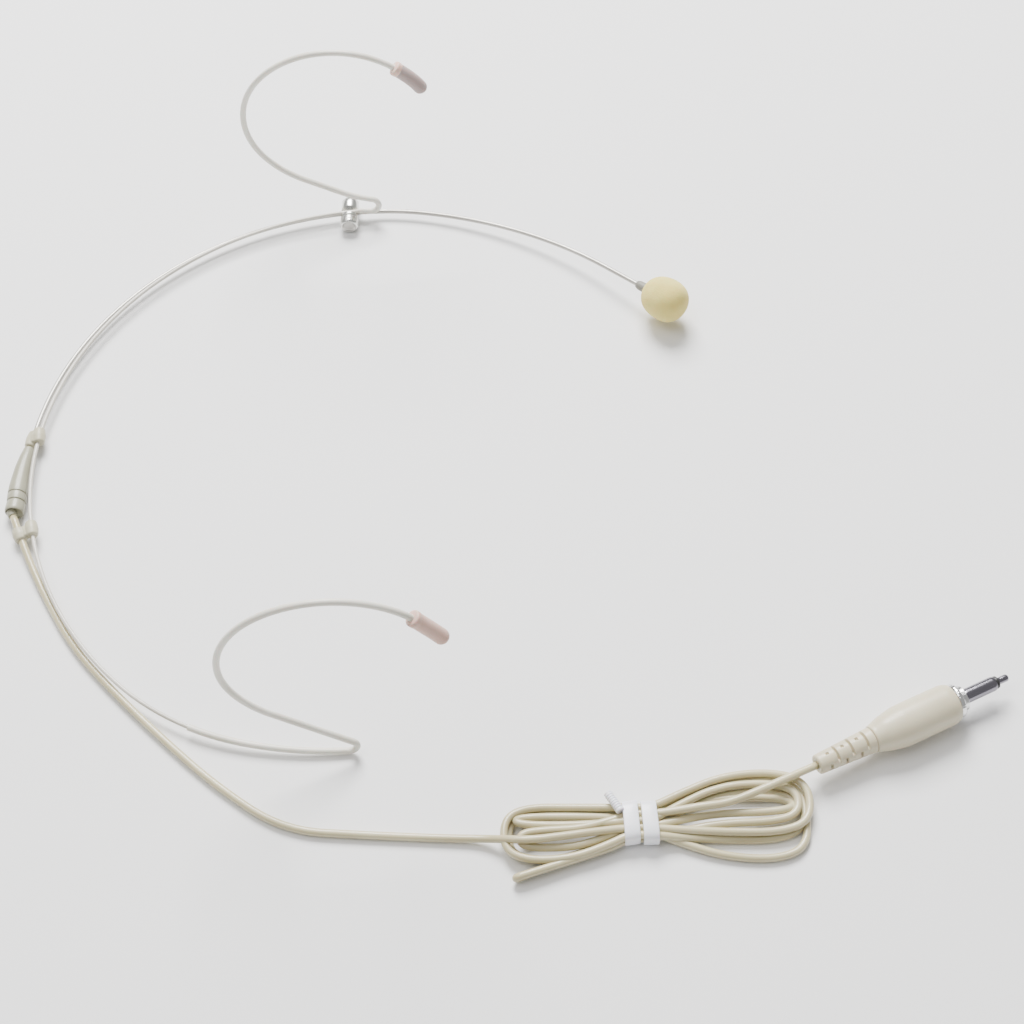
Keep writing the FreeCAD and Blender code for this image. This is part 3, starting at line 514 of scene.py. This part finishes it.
def ear_tip(side, point, direction, cover, length, droop, finish):
    """Silicone tip with a soft collar, drooping a little past the wire's end."""
    way = Vector(direction).normalized()
    start = Vector(point) - way * cover
    across = way.cross(Vector((0, 0, 1))).normalized()
    path = []
    place = start.copy()
    heading = way.copy()
    steps = 56
    for step in range(steps + 1):
        path.append(place * MM)
        bend = droop * 2 * step / steps
        heading = Matrix.Rotation(-math.radians(bend) / steps, 3, across) @ heading
        place += heading * (length / steps)

    def radius_at(share):
        along = share * length
        if along < 0.25:
            return (1.45 + along * 2) * MM
        if along < 1.4:
            return (1.94 - 0.05 * abs(along - 0.8)) * MM
        if along < 1.6:
            return (1.91 - (along - 1.4) * 0.6) * MM
        left = length - along
        if left < 1.7:
            return max(0.03, 1.82 * math.sqrt(max(0.0, 1 - (1 - left / 1.7) ** 2))) * MM
        return 1.82 * MM

    vertices, faces = sweep(path, radius_at, sides=40)
    tip_piece = piece(side + "_ear_tip_soft", vertices, faces, finish, "headband",
                      (side + "_ear_tip",))
    tip_piece.data.materials.append(COLLAR)
    for polygon in tip_piece.data.polygons:
        along = (polygon.center / MM - start).dot(way)
        if along < 1.5:
            polygon.material_index = 1
    return tip_piece


ear_tip("right", (23.8775, -82.5082, 46.7597), (0.631194, 0.034016, -0.774879),
        8.8, 11.5, 5, TIP)
ear_tip("left", (15.2402, 82.6611, 50.4921), (0.778243, 0.0, -0.627963),
        7.6, 11.0, 26, FAR_TIP)

# --------------------------------------------------------- housing, keepers

HOUSING_POINT = (-81.9951, 1.1538, 2.0024)
HOUSING_WAY = (-0.052320, -0.998331, 0.024432)


def fuller_outside(along, radius, angle):
    """The cone swells away from the neck wire, and a little upwards."""
    if radius < 1.0 or along > 19.2:
        return radius
    swell = math.sin(math.pi * min(1.0, max(0.0, (along + 0.6) / 17.5))) ** 0.8
    return radius + swell * (0.62 * max(0.0, -math.cos(angle))
                             + 0.22 * max(0.0, math.sin(angle))
                             - 0.25 * max(0.0, math.cos(angle)))


housing = lathe("junction_housing_cone", rounded([
    (-0.6, 0.7), (-0.6, 1.1), (-0.3, 1.32), (2.7, 1.55), (6.0, 1.78), (9.0, 1.95),
    (12.0, 2.18), (14.1, 2.3), (14.15, 2.06), (14.5, 2.06), (14.55, 2.32), (16.55, 2.36),
    (16.6, 2.1), (16.95, 2.1), (17.0, 2.37), (19.3, 2.42), (19.75, 2.3), (19.85, 2.12),
    (19.6, 2.0), (19.4, 1.9), (19.35, 0.3)], 0.12, 3), HOUSING_POINT, HOUSING_WAY,
    HOUSING, "boom", ("junction_housing",), sides=96,
    shape=fuller_outside)


def barrel_parts(centre, way, radius, length, bulge=0.12):
    """Ring sections of a short rounded barrel, for one half of a keeper."""
    half = length / 2
    profile = [(-half, radius * 0.35), (-half, radius * 0.8), (-half * 0.86, radius * 0.97),
               (0, radius * (1 + bulge)), (half * 0.86, radius * 0.97),
               (half, radius * 0.8), (half, radius * 0.35)]
    profile = rounded(profile, 0.4, 4)
    axes = frame_along(way)
    sides = 48
    vertices = []
    for along, r in profile:
        for side in range(sides):
            angle = 2 * math.pi * side / sides
            vertices.append((Vector(centre) + axes @ Vector(
                (along, r * math.cos(angle), r * math.sin(angle)))) * MM)
    faces = []
    for ring_index in range(len(profile) - 1):
        for side in range(sides):
            following = (side + 1) % sides
            faces.append((ring_index * sides + side, (ring_index + 1) * sides + side,
                          (ring_index + 1) * sides + following,
                          ring_index * sides + following))
    faces.append(tuple(range(sides)))
    faces.append(tuple(reversed(range((len(profile) - 1) * sides, len(profile) * sides))))
    return vertices, faces


def keeper(name, barrels, node, voxel=0.11):
    """Moulded clip: the barrels flow into each other."""
    vertices, faces = [], []
    for centre, way, radius, length in barrels:
        new_vertices, new_faces = barrel_parts(centre, way, radius, length)
        base = len(vertices)
        vertices += new_vertices
        faces += [tuple(index + base for index in face) for face in new_faces]
    blank = piece(name, vertices, faces, KEEPER, "boom", (node,))
    remesh = blank.modifiers.new("merge", "REMESH")
    remesh.mode = "VOXEL"
    remesh.voxel_size = voxel * MM
    smooth = blank.modifiers.new("ease", "SMOOTH")
    smooth.factor = 0.5
    smooth.iterations = 10
    bpy.context.view_layer.update()
    merged = bpy.data.meshes.new_from_object(
        blank.evaluated_get(bpy.context.evaluated_depsgraph_get()))
    blank.modifiers.clear()
    blank.data = merged
    merged.polygons.foreach_set("use_smooth", [True] * len(merged.polygons))
    return blank


keeper("upper_keeper_clip", [
    ((-79.72, 4.9, 3.0), (0.09, -0.9952, 0), 1.5, 4.4),
    ((-81.6, 4.4, 2.0), (-0.1564, -0.9877, 0), 1.45, 4.6),
    ((-80.6, 4.7, 2.6), (0, -1, 0), 1.35, 3.8)], "upper_keeper")
keeper("lower_keeper_clip", [
    ((-77.93, -23.82, 3.0), (0.2250, -0.9744, 0), 1.5, 4.2),
    ((-80.84, -25.1, 2.16), (0.40, -0.9159, -0.0516), 1.58, 3.6),
    ((-79.4, -24.5, 2.6), (0.3, -0.95, 0), 1.1, 3.0)], "lower_keeper")

# ------------------------------------------------------------------- clamp

CLAMP = (-4.8327, 82.2024, 2.4)
CLAMP_WAY = (0, -1, 0)


def clamp_shape(along, radius, angle):
    """The wires lie in a saddle cut across the top of the barrel."""
    if -1.05 < along < 0.95 and math.sin(angle) > -0.25:
        return min(radius, abs(0.35 / max(0.08, abs(math.sin(angle)))) + 0.25)
    return radius


clamp_profile = [(-4.6, 0.2), (-4.6, 1.7), (-4.45, 2.1), (-4.1, 2.32), (-3.0, 2.35),
                 (-1.2, 2.35), (-1.06, 2.3), (-1.04, 2.25), (-0.5, 2.25), (0.4, 2.25),
                 (0.94, 2.25), (0.96, 2.3), (1.1, 2.35), (1.9, 2.35), (2.0, 2.25),
                 (2.02, 1.6), (4.0, 1.6), (4.1, 1.5), (4.1, 0.86), (1.2, 0.86), (1.2, 0.1)]
barrel = lathe("clamp_barrel_turned", clamp_profile, CLAMP, CLAMP_WAY, STEEL, "headband",
               ("clamp_barrel",), sides=96, shape=clamp_shape)
knob_profile = [(4.15, 0.05), (4.15, 1.66), (2.15, 1.68), (2.15, 2.2), (2.25, 2.4), (2.5, 2.45), (4.1, 2.45), (4.35, 2.38),
                (4.6, 2.12), (4.72, 1.9), (4.62, 1.75), (4.4, 1.65), (4.38, 1.2),
                (4.38, 0.05)]
knob = lathe("clamp_knob_turned", knob_profile, CLAMP, CLAMP_WAY, STEEL, "knob",
             ("clamp_knob",), sides=96,
             shape=lambda along, radius, angle: radius * (
                 1 - (0.012 * (0.5 + 0.5 * math.cos(24 * angle)) if 2.4 < along < 4.2
                      else 0)))
# The knob's front face takes the darker steel: painted shade.
knob.data.materials.append(PAINTED_SHADE_STEEL)
for polygon in knob.data.polygons:
    local_y = CLAMP[1] - polygon.center.y / MM
    if local_y > 4.37 and (Vector((polygon.center.x / MM - CLAMP[0], 0,
                                   polygon.center.z / MM - CLAMP[2]))).length < 1.85:
        polygon.material_index = 1

# ------------------------------------------------------------ capsule, foam

CAPSULE_POINT = (74.1774, 51.6328, 6.6759)
CAPSULE_WAY = (0.754596, -0.649548, 0.093125)
boot = lathe("capsule_boot_moulded", rounded([
    (-2.4, 0.62), (-2.4, 0.9), (-1.6, 1.22), (0.2, 1.3), (1.3, 1.28), (1.58, 1.1),
    (1.58, 0.6)], 0.3), CAPSULE_POINT, CAPSULE_WAY, BOOT, "boom",
    ("capsule_boot",), sides=48, bored=True)


def foam_ball():
    """Rounded barrel of foam, a little lumpy, open where the capsule enters."""
    length, radius = 12.4, 5.75
    rings, sides = 64, 96
    profile = []
    for index in range(rings + 1):
        angle = math.pi * index / rings
        along = 0.6 + length / 2 - math.copysign(abs(math.cos(angle)) ** 0.9,
                                                 math.cos(angle)) * length / 2
        lean = 1.0 - 0.06 * math.cos(angle)
        r = radius * (math.sin(angle) ** 0.8) * lean
        profile.append((along, min(radius, max(0.02, r))))
    start = [(3.4, 2.28), (2.2, 2.3), (1.0, 2.32)]
    profile = start + [entry for entry in profile if entry[0] > 1.0 or entry[1] > 2.6]

    def lumpy(along, r, angle):
        if r < 2.4 and along < 3.5:
            return r
        spot = Vector((along * 0.28, math.cos(angle) * 1.5, math.sin(angle) * 1.5))
        grain = Vector((along * 3.1, math.cos(angle) * 14, math.sin(angle) * 14))
        return r * (1 - 0.012 + 0.012 * noise.noise(spot)) - 0.05 + 0.05 * noise.noise(grain)

    return lathe("foam_windscreen_soft", profile, CAPSULE_POINT, CAPSULE_WAY, FOAM,
                 "windscreen", ("foam_windscreen",), sides=sides, shape=lumpy)


foam = foam_ball()

# ------------------------------------------------------------------- stage

floor_mesh = bpy.data.meshes.new("floor")
floor_mesh.from_pydata([(-6, -6, 0), (6, -6, 0), (6, 6, 0), (-6, 6, 0)], [], [(0, 1, 2, 3)])
floor = bpy.data.objects.new("floor", floor_mesh)
floor.location.z = -0.0002
bpy.context.scene.collection.objects.link(floor)
floor_material = bpy.data.materials.new("floor_white")
floor_material.use_nodes = True
floor_shader = floor_material.node_tree.nodes["Principled BSDF"]
floor_shader.inputs["Base Color"].default_value = (0.86, 0.855, 0.85, 1)
floor_shader.inputs["Roughness"].default_value = 0.95
floor_mesh.materials.append(floor_material)

world = bpy.data.worlds.new("studio")
world.use_nodes = True
world.node_tree.nodes["Background"].inputs["Color"].default_value = (1, 1, 1, 1)
world.node_tree.nodes["Background"].inputs["Strength"].default_value = 0.45
bpy.context.scene.world = world


def area_light(name, place, target, size, power):
    data = bpy.data.lights.new(name, "AREA")
    data.shape = "SQUARE"
    data.size = size
    data.energy = power
    lamp = bpy.data.objects.new(name, data)
    lamp.location = place
    lamp.rotation_euler = (Vector(target) - Vector(place)).to_track_quat("-Z", "Y").to_euler()
    bpy.context.scene.collection.objects.link(lamp)


area_light("back_key", (-0.1, 0.75, 0.95), (0, 0, 0), 0.6, 46)
area_light("top_soft", (-0.5, -0.1, 1.3), (0, 0, 0), 0.8, 9)
